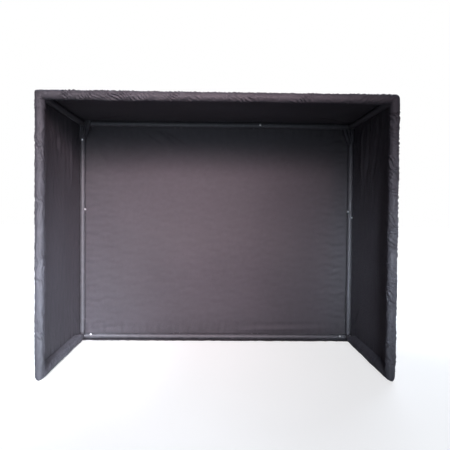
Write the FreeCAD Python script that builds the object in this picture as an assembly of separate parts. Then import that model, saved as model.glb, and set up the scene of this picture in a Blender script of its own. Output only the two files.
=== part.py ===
"""Printer enclosure tent: a bolt-free steel tube frame with a black fabric cover.

Millimetres. +X is to the right, +Y is into the tent, +Z is up. The origin is the centre of
the footprint, on the surface that the tent stands on. The front and the floor are open.
"""

import FreeCAD, Part
import math
import os

from FreeCAD import Vector

# Frame tube: thin-walled round steel tube, in sections joined by inner couplers.
TUBE_OD = 19.0
TUBE_WALL = 1.0
TUBE_CHAMFER = 0.5
RAIL_MIDDLE = 276.0
RAIL_END = 316.5
POST_UPPER = 294.0
POST_LOWER = 419.0
SIDE_SECTION = 419.0

# Corner fittings: collars as thick as the tube, with thinner legs that go inside it.
CORNER_SETBACK = 14.0
LEG_OD = 16.8
LEG_WALL = 1.0
RAIL_LEG_BUTTON = 31.0
POST_LEG_BUTTON = 57.0
LEG_PAST_BUTTON = 14.0

# Couplers inside each splice, with a button each side of the seam.
COUPLER_HALF = 40.0
SPLICE_BUTTON = 10.5

# Snap buttons.
BUTTON_D = 6.5
BUTTON_HOLE_D = 7.1
BUTTON_TOP = 12.5
BUTTON_SHOULDER = 11.0
BUTTON_BOTTOM = 5.2
REAR_TILT = 40.0

# Leaf springs under the buttons: a V of flat steel inside the coupler.
SPRING_WIDTH = 6.0
SPRING_TOP = 5.0
SPRING_LOW = -6.5
SPRING_LEAF = 0.5
SPRING_TAIL = -5.0
SPRING_FLAT = 6.0
SPRING_BEND = 24.5
SPRING_BEND_DROP = 0.75
SPRING_BEND_GAP = 1.6

# Fabric cover.
CLOTH = 1.6
CLOTH_GAP = 0.4
SLEEVE_SLACK = 3.5
POST_SLEEVE_SEAM = 24.0
FOOT_SLEEVE_SEAM = 18.0
SLEEVE_SLIT = 0.4
POST_SLEEVE_FOOT = 36.0
FOOT_SLEEVE_END = 36.0
CAP_DROP = 45.0
CAP_REACH = {"left": 60.0, "right": 118.0}
HEM_DEPTH = 25.0
TAB_CLOTH = 1.2
TAB_CLEARANCE = 0.5
TAB_SEAM = 28.0
TAB_TOP = 10.2
TAB_BACK_GAP = 0.3
TAB_FOOT = {"left": 49.0, "right": 62.0}
FLAP_DEPTH = 6.0

TUBE_R = TUBE_OD / 2
TUBE_BORE_R = TUBE_R - TUBE_WALL
LEG_R = LEG_OD / 2
LEG_BORE_R = LEG_R - LEG_WALL
CLOTH_IN = TUBE_R + CLOTH_GAP
CLOTH_OUT = CLOTH_IN + CLOTH

# Centre lines of the frame.
POST_X = CORNER_SETBACK + RAIL_END + RAIL_MIDDLE / 2
POST_Y = CORNER_SETBACK + SIDE_SECTION / 2
LOW_Z = CLOTH_OUT
TOP_Z = LOW_Z + 2 * CORNER_SETBACK + POST_UPPER + POST_LOWER

# Outer faces of the cover.
COVER_X = POST_X + CLOTH_OUT
COVER_Y = POST_Y + CLOTH_OUT
COVER_Z = TOP_Z + CLOTH_OUT

RIGHT = Vector(1, 0, 0)
LEFT = Vector(-1, 0, 0)
FRONT = Vector(0, -1, 0)
BACK = Vector(0, 1, 0)
UP = Vector(0, 0, 1)
DOWN = Vector(0, 0, -1)
ORIGIN = Vector(0, 0, 0)


def between(first, second, degrees):
    """The direction that many degrees from first towards second, which is square to it."""
    turn = math.radians(degrees)
    return first * math.cos(turn) + second * math.sin(turn)


def rod(radius, start, direction, length):
    return Part.makeCylinder(radius, length, start, direction)


def block(low, high):
    size = high - low
    return Part.makeBox(size.x, size.y, size.z, low)


def save(name, shape):
    shape.exportStep(f"parts/{name}.step")


# The runs of the frame: where each starts, which way it goes, its sections, how far from
# the corner its end buttons are, and its buttons in order, as (node, direction they face).
POST_SECTIONS = [("lower", POST_LOWER), ("upper", POST_UPPER)]
RAIL_PIECES = [("left", RAIL_END), ("middle", RAIL_MIDDLE), ("right", RAIL_END)]
SIDE_PIECES = [("", SIDE_SECTION)]
TOP_REAR = ("back_top_rail_buttons", between(DOWN, BACK, REAR_TILT))
LOW_REAR = ("back_bottom_rail_buttons", between(UP, BACK, REAR_TILT))
FRONT_SET = ("front_frame_buttons", BACK)
FOOT_SET = ("bottom_side_tube_buttons", UP)
ROOF_SET = ("top_side_tube_buttons", DOWN)
LEFT_POST_SET = ("back_left_post_buttons", between(RIGHT, BACK, REAR_TILT))
RIGHT_POST_SET = ("back_right_post_buttons", between(LEFT, BACK, REAR_TILT))

RUNS = {
    "back_top_rail": (
        Vector(-POST_X, POST_Y, TOP_Z),
        RIGHT,
        RAIL_PIECES,
        RAIL_LEG_BUTTON,
        [TOP_REAR, TOP_REAR, TOP_REAR, TOP_REAR]
        + [("button_top_rail_splice", between(FRONT, UP, 10)), TOP_REAR],
    ),
    "back_bottom_rail": (
        Vector(-POST_X, POST_Y, LOW_Z),
        RIGHT,
        RAIL_PIECES,
        RAIL_LEG_BUTTON,
        [("button_bottom_rail_left_end", between(FRONT, UP, 48))]
        + [LOW_REAR] * 4
        + [("button_bottom_rail_right_end", between(FRONT, UP, 25))],
    ),
    "front_top_rail": (
        Vector(-POST_X, -POST_Y, TOP_Z),
        RIGHT,
        RAIL_PIECES,
        RAIL_LEG_BUTTON,
        [FRONT_SET] * 6,
    ),
    "back_left_post": (
        Vector(-POST_X, POST_Y, LOW_Z),
        UP,
        POST_SECTIONS,
        POST_LEG_BUTTON,
        [LEFT_POST_SET, LEFT_POST_SET]
        + [("button_left_post_splice", RIGHT)]
        + [("button_left_post_top", FRONT)],
    ),
    "back_right_post": (
        Vector(POST_X, POST_Y, LOW_Z),
        UP,
        POST_SECTIONS,
        POST_LEG_BUTTON,
        [RIGHT_POST_SET]
        + [("button_right_post_splice_lower", between(FRONT, RIGHT, 36))]
        + [("button_right_post_splice_upper", between(FRONT, LEFT, 60))]
        + [RIGHT_POST_SET],
    ),
    "front_left_post": (
        Vector(-POST_X, -POST_Y, LOW_Z),
        UP,
        POST_SECTIONS,
        POST_LEG_BUTTON,
        [FRONT_SET] * 4,
    ),
    "front_right_post": (
        Vector(POST_X, -POST_Y, LOW_Z),
        UP,
        POST_SECTIONS,
        POST_LEG_BUTTON,
        [FRONT_SET] * 4,
    ),
    "top_left_side_tube": (
        Vector(-POST_X, -POST_Y, TOP_Z),
        BACK,
        SIDE_PIECES,
        RAIL_LEG_BUTTON,
        [ROOF_SET] * 2,
    ),
    "top_right_side_tube": (
        Vector(POST_X, -POST_Y, TOP_Z),
        BACK,
        SIDE_PIECES,
        RAIL_LEG_BUTTON,
        [ROOF_SET] * 2,
    ),
    "bottom_left_side_tube": (
        Vector(-POST_X, -POST_Y, LOW_Z),
        BACK,
        SIDE_PIECES,
        RAIL_LEG_BUTTON,
        [FOOT_SET] * 2,
    ),
    "bottom_right_side_tube": (
        Vector(POST_X, -POST_Y, LOW_Z),
        BACK,
        SIDE_PIECES,
        RAIL_LEG_BUTTON,
        [FOOT_SET, ("button_bottom_side_back", UP)],
    ),
}


def buttons_of(run):
    """Each button of a run: how far it is along it, the way to its spring's bend, the rest."""
    _, _, sections, leg_button, facings = RUNS[run]
    lengths = [length for _, length in sections]
    whole = 2 * CORNER_SETBACK + sum(lengths)
    places = [(leg_button, -1)]
    seam = CORNER_SETBACK
    for length in lengths[:-1]:
        seam += length
        places += [(seam - SPLICE_BUTTON, -1), (seam + SPLICE_BUTTON, 1)]
    places.append((whole - leg_button, 1))
    return [(at, bend, node, facing) for (at, bend), (node, facing) in zip(places, facings)]


def drilled(shape, run, first, last):
    """shape with a hole for each button of the run between two distances along it."""
    start, axis = RUNS[run][:2]
    for at, _, _, facing in buttons_of(run):
        if first < at < last:
            hole = rod(BUTTON_HOLE_D / 2, start + axis * at, facing, BUTTON_TOP)
            shape = shape.cut(hole)
    return shape


def tube_section(run, first, length):
    start, axis = RUNS[run][:2]
    foot = start + axis * first
    outside = rod(TUBE_R, foot, axis, length)
    rims = [edge for edge in outside.Edges if isinstance(edge.Curve, Part.Circle)]
    outside = outside.makeChamfer(TUBE_CHAMFER, rims)
    tube = outside.cut(rod(TUBE_BORE_R, foot, axis, length))
    return drilled(tube, run, first, first + length)


def frame_tubes():
    for run, (_, _, sections, _, _) in RUNS.items():
        first = CORNER_SETBACK
        for name, length in sections:
            node = f"{run}_{name}" if name else run
            save(node, tube_section(run, first, length))
            first += length


def splice_couplers():
    """One hollow coupler across each seam, inside the two sections that meet there."""
    couplers = []
    for run, (start, axis, sections, _, _) in RUNS.items():
        seam = CORNER_SETBACK
        for _, length in sections[:-1]:
            seam += length
            first = seam - COUPLER_HALF
            foot = start + axis * first
            coupler = rod(LEG_R, foot, axis, 2 * COUPLER_HALF)
            coupler = coupler.cut(rod(LEG_BORE_R, foot, axis, 2 * COUPLER_HALF))
            couplers.append(drilled(coupler, run, first, first + 2 * COUPLER_HALF))
    save("splice_couplers", Part.makeCompound(couplers))


def corner_fitting(corner, legs):
    """A hollow fitting with a ball at the corner, and a collar and a thinner leg per tube."""
    body = Part.makeSphere(TUBE_R, corner)
    hollow = Part.makeSphere(LEG_BORE_R, corner)
    for axis, leg_button in legs:
        reach = leg_button + LEG_PAST_BUTTON
        body = body.fuse(rod(TUBE_R, corner, axis, CORNER_SETBACK))
        body = body.fuse(rod(LEG_R, corner, axis, reach))
        hollow = hollow.fuse(rod(LEG_BORE_R, corner, axis, reach))
    return body.cut(hollow)


def corner_fittings():
    for x, side in ((-POST_X, "left"), (POST_X, "right")):
        for y, face in ((-POST_Y, "front"), (POST_Y, "back")):
            for z, level in ((LOW_Z, "bottom"), (TOP_Z, "top")):
                corner = Vector(x, y, z)
                legs = [
                    (UP if level == "bottom" else DOWN, POST_LEG_BUTTON),
                    (BACK if face == "front" else FRONT, RAIL_LEG_BUTTON),
                ]
                if (face, level) != ("front", "bottom"):
                    legs.append((RIGHT if side == "left" else LEFT, RAIL_LEG_BUTTON))
                fitting = corner_fitting(corner, legs)
                for run, (start, axis, sections, leg_button, _) in RUNS.items():
                    whole = 2 * CORNER_SETBACK + sum(length for _, length in sections)
                    for end, low, high in (
                        (start, 0, leg_button + LEG_PAST_BUTTON),
                        (start + axis * whole, whole - leg_button - LEG_PAST_BUTTON, whole),
                    ):
                        if (end - corner).Length < 1:
                            fitting = drilled(fitting, run, low, high)
                save(f"corner_fitting_{face}_{level}_{side}", fitting)


def snap_button():
    """A domed pin that stands along +Z, measured from the tube's centre line."""
    radius = BUTTON_D / 2
    rise = BUTTON_TOP - BUTTON_SHOULDER
    dome = (radius**2 + rise**2) / (2 * rise)
    half = math.asin(radius / dome) / 2
    foot = Vector(0, 0, BUTTON_BOTTOM)
    rim = Vector(radius, 0, BUTTON_BOTTOM)
    shoulder = Vector(radius, 0, BUTTON_SHOULDER)
    crown = Vector(dome * math.sin(half), 0, BUTTON_TOP - dome * (1 - math.cos(half)))
    top = Vector(0, 0, BUTTON_TOP)
    outline = Part.Wire(
        [
            Part.makeLine(foot, rim),
            Part.makeLine(rim, shoulder),
            Part.Arc(shoulder, crown, top).toShape(),
            Part.makeLine(top, foot),
        ]
    )
    return Part.Face(outline).revolve(ORIGIN, UP, 360)


def leaf_spring():
    """The V spring of a button that faces +Z, with its bend towards +X."""
    outline = [
        (SPRING_TAIL, SPRING_TOP),
        (SPRING_FLAT, SPRING_TOP),
        (SPRING_BEND, -SPRING_BEND_DROP),
        (SPRING_TAIL, SPRING_LOW),
        (SPRING_TAIL, SPRING_LOW + SPRING_LEAF),
        (SPRING_BEND - SPRING_BEND_GAP, -SPRING_BEND_DROP),
        (SPRING_FLAT, SPRING_TOP - SPRING_LEAF),
        (SPRING_TAIL, SPRING_TOP - SPRING_LEAF),
    ]
    points = [Vector(x, -SPRING_WIDTH / 2, z) for x, z in outline]
    face = Part.Face(Part.makePolygon(points + points[:1]))
    return face.extrude(BACK * SPRING_WIDTH)


def placed(shape, x_axis, z_axis, place):
    """shape turned so that its own X and Z lie along two directions, and moved to a place."""
    y_axis = z_axis.cross(x_axis)
    turn = FreeCAD.Matrix(
        *(x_axis.x, y_axis.x, z_axis.x, place.x),
        *(x_axis.y, y_axis.y, z_axis.y, place.y),
        *(x_axis.z, y_axis.z, z_axis.z, place.z),
    )
    return shape.transformed(turn, True)


def buttons_and_springs():
    pin = snap_button()
    leaf = leaf_spring()
    nodes = {}
    springs = []
    for run, (start, axis, _, _, _) in RUNS.items():
        for at, bend, node, facing in buttons_of(run):
            place = start + axis * at
            nodes.setdefault(node, []).append(placed(pin, axis, facing, place))
            springs.append(placed(leaf, axis * bend, facing, place))
    for node, pins in nodes.items():
        save(node, Part.makeCompound(pins) if len(pins) > 1 else pins[0])
    save("button_springs", Part.makeCompound(springs))


def pocket(outer, slack, seam, cloth, inside):
    """The outline of a sleeve round a tube at the origin: its flat side is the wall at
    -X, the tube lies in its round end, and its two layers meet at the seam, at +Y.
    inside gives the hollow in it rather than its outer shape."""
    radius = outer - cloth if inside else outer
    wall = -radius
    end = seam - cloth if inside else seam
    lip = -outer + cloth + SLEEVE_SLIT + (0 if inside else cloth)
    away = Vector(lip, end - slack, 0)
    angle = math.atan2(away.y, away.x) - math.acos(radius / away.Length)
    touch = Vector(radius * math.cos(angle), slack + radius * math.sin(angle), 0)
    middle = Vector(radius * math.cos(angle / 2), slack + radius * math.sin(angle / 2), 0)
    wall_foot = Vector(wall, 0, 0)
    turn = Vector(radius, 0, 0)
    rise = Vector(radius, slack, 0)
    tip = Vector(lip, end, 0)
    wall_top = Vector(wall, end, 0)
    return Part.Face(
        Part.Wire(
            [
                Part.Arc(wall_foot, Vector(0, -radius, 0), turn).toShape(),
                Part.makeLine(turn, rise),
                Part.Arc(rise, middle, touch).toShape(),
                Part.makeLine(touch, tip),
                Part.makeLine(tip, wall_top),
                Part.makeLine(wall_top, wall_foot),
            ]
        )
    )


def laid(face, inward, along_seam, start, length):
    """A pocket outline set across a tube and drawn out along it. inward is the way from
    the wall to the inside of the tent, and along_seam the way from the tube to the seam."""
    return placed(face.extrude(UP * length), inward, inward.cross(along_seam), start)


def sleeve_pair(seam):
    args = (CLOTH_OUT, SLEEVE_SLACK, seam, CLOTH)
    return pocket(*args, False), pocket(*args, True)


def corner_turn(face):
    """The outer half of a post's pocket, turned a quarter over the front top left corner."""
    wide = 2 * CLOTH_OUT
    long = 4 * POST_SLEEVE_SEAM
    half = face.common(Part.makePlane(wide, long, Vector(-wide, -long / 2, 0)))
    half.translate(Vector(-POST_X, -POST_Y, TOP_Z))
    return half.revolve(Vector(-POST_X, 0, TOP_Z), BACK, 90)


def mirrored(shape, side):
    return shape if side == "left" else shape.mirror(ORIGIN, RIGHT)


def front_sleeves():
    """The sleeves on the front posts and front top rail, and the caps at their corners."""
    outer, inner = sleeve_pair(POST_SLEEVE_SEAM)
    cap_foot = COVER_Z - CAP_DROP
    for side in ("left", "right"):
        foot = Vector(-POST_X, -POST_Y, POST_SLEEVE_FOOT)
        shapes = [laid(f, RIGHT, BACK, foot, cap_foot - POST_SLEEVE_FOOT) for f in (outer, inner)]
        save(f"front_{side}_sleeve", mirrored(shapes[0].cut(shapes[1]), side))

        reach = CAP_REACH[side]
        solids = []
        for face in (outer, inner):
            drop = laid(face, RIGHT, BACK, Vector(-POST_X, -POST_Y, cap_foot), TOP_Z - cap_foot)
            along = laid(face, DOWN, BACK, Vector(-POST_X, -POST_Y, TOP_Z), reach)
            solids.append(drop.fuse(along).fuse(corner_turn(face)))
        cap = solids[0].cut(solids[1])
        tunnel = rod(CLOTH_IN, Vector(-POST_X, -POST_Y, TOP_Z), BACK, 3 * POST_SLEEVE_SEAM)
        save(f"corner_cap_{side}", mirrored(cap.cut(tunnel), side))

    first = Vector(-POST_X + CAP_REACH["left"], -POST_Y, TOP_Z)
    length = 2 * POST_X - CAP_REACH["left"] - CAP_REACH["right"]
    shapes = [laid(f, DOWN, BACK, first, length) for f in (outer, inner)]
    save("front_top_sleeve", shapes[0].cut(shapes[1]))


def foot_sleeves():
    """The sleeves on the two bottom side tubes. Each turns up round the front post's foot."""
    outer, inner = sleeve_pair(FOOT_SLEEVE_SEAM)
    post_outer, post_inner = sleeve_pair(POST_SLEEVE_SEAM)
    length = 2 * POST_Y - FOOT_SLEEVE_END
    back_end = Vector(-POST_X, POST_Y - FOOT_SLEEVE_END, LOW_Z)
    corner = Vector(-POST_X, -POST_Y, LOW_Z)
    for side in ("left", "right"):
        solids = []
        for along, up, radius in ((outer, post_outer, CLOTH_OUT), (inner, post_inner, CLOTH_IN)):
            run = laid(along, RIGHT, UP, back_end, length)
            rise = laid(up, RIGHT, BACK, corner, POST_SLEEVE_FOOT - LOW_Z)
            solids.append(run.fuse(rise).fuse(Part.makeSphere(radius, corner)))
        save(f"bottom_{side}_sleeve", mirrored(solids[0].cut(solids[1]), side))


def panels():
    """Roof, back, sides and back hem, pulled flat between the tubes, edge to edge."""
    seam_y = -POST_Y + POST_SLEEVE_SEAM
    sleeve_end = POST_Y - FOOT_SLEEVE_END
    sleeve_top = LOW_Z + FOOT_SLEEVE_SEAM
    under_roof = COVER_Z - CLOTH
    before_back = COVER_Y - CLOTH

    roof = block(Vector(-COVER_X, seam_y, under_roof), Vector(COVER_X, COVER_Y, COVER_Z))
    save("top_panel", roof)
    back = block(Vector(-COVER_X, before_back, CLOTH), Vector(COVER_X, COVER_Y, under_roof))
    save("back_panel", back)

    inner_x = -COVER_X + CLOTH
    wall = block(Vector(-COVER_X, seam_y, sleeve_top), Vector(inner_x, before_back, under_roof))
    tail = block(Vector(-COVER_X, sleeve_end, CLOTH), Vector(inner_x, before_back, under_roof))
    side_panel = wall.fuse(tail).removeSplitter()
    for side in ("left", "right"):
        save(f"{side}_panel", mirrored(side_panel, side))

    hem = block(Vector(-COVER_X, POST_Y - HEM_DEPTH, 0), Vector(COVER_X, COVER_Y, CLOTH))
    save("back_hem", hem)


def corner_tabs():
    """A loop of cloth round each back post, just below its top corner, sewn to the walls.
    The left one goes on up to the roof as a flap, in front of the end of the top rail."""
    clearance = TUBE_R + TAB_CLEARANCE
    outer = clearance + TAB_CLOTH
    shape_args = (outer, SLEEVE_SLACK, TAB_SEAM, TAB_CLOTH)
    outline = pocket(*shape_args, False).cut(pocket(*shape_args, True))
    reach = CLOTH_IN - TAB_BACK_GAP
    room = Part.makePlane(4 * TAB_SEAM, 4 * TAB_SEAM, Vector(-reach, -reach, 0))
    behind = Part.makePlane(2 * TAB_SEAM, 2 * TAB_SEAM, Vector(-2 * TAB_SEAM, -2 * TAB_SEAM, 0))
    outline = outline.common(room).cut(behind)
    front = POST_Y - outer
    top = TOP_Z - TAB_TOP
    seam_x = -POST_X + TAB_SEAM
    across = block(
        Vector(-POST_X, front, top - FLAP_DEPTH), Vector(seam_x, front + TAB_CLOTH, top)
    )
    rise = block(
        Vector(-POST_X + clearance, front, top - FLAP_DEPTH),
        Vector(seam_x, front + TAB_CLOTH, COVER_Z - CLOTH - TAB_CLEARANCE),
    )
    for side, foot in TAB_FOOT.items():
        start = Vector(-POST_X, POST_Y, TOP_Z - foot)
        tab = placed(outline.extrude(UP * (foot - TAB_TOP)), FRONT, FRONT.cross(RIGHT), start)
        if side == "left":
            tab = tab.fuse(across).fuse(rise)
        save(f"corner_tab_{side}", mirrored(tab, side))


os.makedirs("parts", exist_ok=True)
frame_tubes()
splice_couplers()
corner_fittings()
buttons_and_springs()
front_sleeves()
foot_sleeves()
panels()
corner_tabs()
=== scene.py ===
import math

import bpy
import numpy as np
from mathutils import Matrix, Vector


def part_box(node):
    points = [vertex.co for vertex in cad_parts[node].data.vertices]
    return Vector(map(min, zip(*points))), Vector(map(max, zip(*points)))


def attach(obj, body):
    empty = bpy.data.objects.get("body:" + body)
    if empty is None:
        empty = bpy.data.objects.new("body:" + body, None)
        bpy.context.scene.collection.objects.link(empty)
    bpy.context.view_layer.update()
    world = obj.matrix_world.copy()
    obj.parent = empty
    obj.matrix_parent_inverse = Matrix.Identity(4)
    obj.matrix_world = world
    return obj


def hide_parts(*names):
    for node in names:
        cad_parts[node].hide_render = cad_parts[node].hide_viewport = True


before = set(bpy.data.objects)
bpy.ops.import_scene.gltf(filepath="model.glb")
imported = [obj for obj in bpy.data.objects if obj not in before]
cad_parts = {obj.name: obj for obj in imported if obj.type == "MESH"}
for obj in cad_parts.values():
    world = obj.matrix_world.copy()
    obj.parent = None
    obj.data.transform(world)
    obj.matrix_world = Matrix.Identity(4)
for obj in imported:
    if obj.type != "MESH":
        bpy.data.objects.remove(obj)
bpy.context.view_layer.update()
bpy.ops.object.select_all(action="DESELECT")


# ---------------------------------------------------------------------------------------
# Frame tubes and corner fittings. Thin steel tube, powder coated satin black, pushed on to
# the legs of hollow fittings with the same coat. The coat has a fine orange peel, a little
# dust, and rub marks where the sections have slid together.

TUBE_BLACK = (0.042, 0.041, 0.046)
FITTING_BLACK = (0.026, 0.025, 0.028)
RUBBED_STEEL = (0.16, 0.155, 0.15)


def new_group(name, inputs, outputs):
    """An empty shader node group with float or vector inputs and float or colour outputs."""
    group = bpy.data.node_groups.new(name, "ShaderNodeTree")
    for label, kind, value in inputs:
        socket = group.interface.new_socket(label, in_out="INPUT", socket_type=kind)
        if kind == "NodeSocketFloat":
            socket.default_value = value
    for label, kind in outputs:
        group.interface.new_socket(label, in_out="OUTPUT", socket_type=kind)
    entry = group.nodes.new("NodeGroupInput")
    leave = group.nodes.new("NodeGroupOutput")
    return group, entry.outputs, leave.inputs


def add_node(tree, kind, **settings):
    """A node with its own settings, and plain values for the sockets named in values."""
    values = settings.pop("values", {})
    made = tree.nodes.new(kind)
    for key, value in settings.items():
        setattr(made, key, value)
    for key, value in values.items():
        made.inputs[key].default_value = value
    return made


def maths(tree, operation, first, second=0.0, third=None):
    """A Math node on sockets or plain numbers; gives its output."""
    made = add_node(tree, "ShaderNodeMath", operation=operation)
    for slot, value in zip(made.inputs, (first, second, third)):
        if value is None:
            continue
        if isinstance(value, (int, float)):
            slot.default_value = value
        else:
            tree.links.new(value, slot)
    return made.outputs[0]


def ramp(tree, value, low, high, low_to=0.0, high_to=1.0):
    """value from low..high to low_to..high_to, smooth and clamped."""
    made = add_node(tree, "ShaderNodeMapRange", interpolation_type="SMOOTHSTEP")
    tree.links.new(value, made.inputs["Value"])
    for label, number in (("From Min", low), ("From Max", high)):
        made.inputs[label].default_value = number
    for label, number in (("To Min", low_to), ("To Max", high_to)):
        made.inputs[label].default_value = number
    return made.outputs["Result"]


def two_tone(tree, mask, first, second):
    """A colour that goes from first to second as the mask goes from 0 to 1."""
    made = add_node(tree, "ShaderNodeMix", data_type="RGBA")
    tree.links.new(mask, made.inputs["Factor"])
    for slot, tone in ((made.inputs[6], first), (made.inputs[7], second)):
        if isinstance(tone, bpy.types.NodeSocket):
            tree.links.new(tone, slot)
        else:
            slot.default_value = (*tone, 1.0)
    return made.outputs[2]


def noise_at(tree, where, scale, detail=3.0, roughness=0.5):
    made = add_node(tree, "ShaderNodeTexNoise")
    made.inputs["Scale"].default_value = scale
    made.inputs["Detail"].default_value = detail
    made.inputs["Roughness"].default_value = roughness
    tree.links.new(where, made.inputs["Vector"])
    return made.outputs["Fac"]


def coat_group():
    """Orange peel, dust and rub marks of a powder coat, in object coordinates."""
    group, given, gives = new_group(
        "powder_coat",
        [("Vector", "NodeSocketVector", None), ("Rub", "NodeSocketFloat", 0.5)],
        [("Height", "NodeSocketFloat"), ("Rub", "NodeSocketFloat"), ("Dust", "NodeSocketFloat")],
    )
    where = given["Vector"]
    peel = noise_at(group, where, 1400.0, 2.0)
    waves = noise_at(group, where, 320.0, 1.0)
    height = maths(group, "ADD", maths(group, "MULTIPLY", peel, 0.6), waves)
    patch = ramp(group, noise_at(group, where, 26.0, 3.0), 0.58, 0.72)
    scratch = ramp(group, noise_at(group, where, 700.0, 4.0, 0.7), 0.55, 0.7)
    rub = maths(group, "MULTIPLY", maths(group, "MULTIPLY", patch, scratch), given["Rub"])
    dust = ramp(group, noise_at(group, where, 60.0, 4.0, 0.6), 0.42, 0.75)
    group.links.new(height, gives["Height"])
    group.links.new(rub, gives["Rub"])
    group.links.new(dust, gives["Dust"])
    return group


def new_material(name):
    material = bpy.data.materials.new(name)
    material.use_nodes = True
    shader = material.node_tree.nodes["Principled BSDF"]
    return material, material.node_tree, shader


def bump_into(tree, shader, height, distance, strength):
    made = add_node(tree, "ShaderNodeBump")
    made.inputs["Strength"].default_value = strength
    made.inputs["Distance"].default_value = distance
    tree.links.new(height, made.inputs["Height"])
    tree.links.new(made.outputs["Normal"], shader.inputs["Normal"])


powder_coat = coat_group()


def coated_steel(name, black, rub, smooth):
    material, tree, shader = new_material(name)
    where = add_node(tree, "ShaderNodeTexCoord").outputs["Object"]
    coat = add_node(tree, "ShaderNodeGroup", node_tree=powder_coat, values={"Rub": rub})
    tree.links.new(where, coat.inputs["Vector"])
    dusty = tuple(c * 1.45 + 0.004 for c in black)
    tone = two_tone(tree, coat.outputs["Dust"], black, dusty)
    tone = two_tone(tree, coat.outputs["Rub"], tone, RUBBED_STEEL)
    tree.links.new(tone, shader.inputs["Base Color"])
    rough = maths(tree, "MULTIPLY_ADD", coat.outputs["Dust"], 0.12, smooth)
    tree.links.new(rough, shader.inputs["Roughness"])
    shader.inputs["Specular IOR Level"].default_value = 0.55
    bump_into(tree, shader, coat.outputs["Height"], 0.00008, 0.5)
    return material


tube_coat = coated_steel("satin_black_tube", TUBE_BLACK, 0.35, 0.58)
fitting_coat = coated_steel("satin_black_fitting", FITTING_BLACK, 0.7, 0.40)


def finish_nodes(test, material):
    """Gives the CAD nodes whose names pass the test their finish."""
    for name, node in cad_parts.items():
        if test(name):
            node.data.materials.clear()
            node.data.materials.append(material)


finish_nodes(lambda n: n.endswith("_side_tube"), tube_coat)
finish_nodes(lambda n: n.endswith(("_left", "_middle", "_right")) and "_rail_" in n, tube_coat)
finish_nodes(lambda n: n.endswith(("_lower", "_upper")) and "_post_" in n, tube_coat)
finish_nodes(lambda n: n.startswith("corner_fitting"), fitting_coat)


# ---------------------------------------------------------------------------------------
# Splice couplers, snap buttons and their leaf springs. Zinc plated couplers sit inside each
# seam. The buttons are turned steel pins, nickel plated, and a blued spring leaf pushes them
# out through the tube. Eight are bright; those made as groups get a darker copy of the plate,
# painted shade for the buttons that sit in shade.


def plated_steel(name, bright, worn, smooth, grain):
    material, tree, shader = new_material(name)
    where = add_node(tree, "ShaderNodeTexCoord").outputs["Object"]
    wear = ramp(tree, noise_at(tree, where, grain, 4.0, 0.6), 0.35, 0.7)
    tree.links.new(two_tone(tree, wear, bright, worn), shader.inputs["Base Color"])
    rough = maths(tree, "MULTIPLY_ADD", wear, 0.14, smooth)
    tree.links.new(rough, shader.inputs["Roughness"])
    shader.inputs["Metallic"].default_value = 1.0
    bump_into(tree, shader, noise_at(tree, where, grain * 6, 2.0), 0.00003, 0.35)
    return material


nickel = plated_steel("nickel_button", (0.96, 0.96, 0.97), (0.88, 0.88, 0.90), 0.46, 900.0)
# A darker copy of the nickel plate: painted shade for the buttons that sit in shade.
shaded_nickel = plated_steel("shaded_button", (0.26, 0.26, 0.27), (0.16, 0.16, 0.17), 0.26, 900.0)
zinc = plated_steel("zinc_coupler", (0.55, 0.56, 0.58), (0.40, 0.41, 0.43), 0.32, 260.0)
blued = plated_steel("blued_leaf", (0.20, 0.22, 0.27), (0.13, 0.13, 0.15), 0.28, 400.0)

finish_nodes(lambda n: n.startswith("button_") and n != "button_springs", nickel)
# The grouped buttons get the darker copy of the plate, as painted shade.
finish_nodes(lambda n: n.endswith("_buttons"), shaded_nickel)
finish_nodes(lambda n: n == "splice_couplers", zinc)
finish_nodes(lambda n: n == "button_springs", blued)


# ---------------------------------------------------------------------------------------
# Cover cloth. A black polyester in plain weave, with a coated back that gives it a soft
# sheen. Every piece is cut flat and keeps its flat measure in its UV map, in metres, so
# that the weave follows the cloth round the tubes.

WEAVE_PITCH = 0.0011
CLOTH_BLACK = (0.037, 0.0335, 0.0385)
CLOTH_WORN = (0.050, 0.045, 0.052)
SLEEVE_BLACK = (0.040, 0.0385, 0.044)
SLEEVE_WORN = (0.060, 0.058, 0.066)
TRIM_BLACK = (0.040, 0.038, 0.043)
TRIM_WORN = (0.06, 0.057, 0.065)
CLOTH_THICKNESS = 0.0008


def weave_group():
    """A plain weave: rounded warp and weft threads that go over and under each other."""
    group, given, gives = new_group(
        "plain_weave",
        [("Vector", "NodeSocketVector", None), ("Pitch", "NodeSocketFloat", WEAVE_PITCH)],
        [("Height", "NodeSocketFloat"), ("Gap Shade", "NodeSocketFloat")],
    )
    apart = add_node(group, "ShaderNodeSeparateXYZ")
    group.links.new(given["Vector"], apart.inputs[0])
    count = [maths(group, "DIVIDE", apart.outputs[k], given["Pitch"]) for k in (0, 1)]
    thread = []
    for place in count:
        wave = maths(group, "SINE", maths(group, "MULTIPLY", place, math.pi))
        thread.append(maths(group, "ABSOLUTE", wave))
    odd = maths(group, "ADD", *[maths(group, "FLOOR", place) for place in count])
    over = maths(group, "MODULO", maths(group, "ABSOLUTE", odd), 2.0)
    under = maths(group, "SUBTRACT", 1.0, over)
    warp = maths(group, "MULTIPLY", thread[0], maths(group, "MULTIPLY_ADD", over, 0.5, 0.5))
    weft = maths(group, "MULTIPLY", thread[1], maths(group, "MULTIPLY_ADD", under, 0.5, 0.5))
    height = maths(group, "MAXIMUM", warp, weft)
    group.links.new(height, gives["Height"])
    # Painted shade: the gaps between the threads are darkened.
    group.links.new(ramp(group, height, 0.35, 0.6, 1.0, 0.0), gives["Gap Shade"])
    return group


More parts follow.
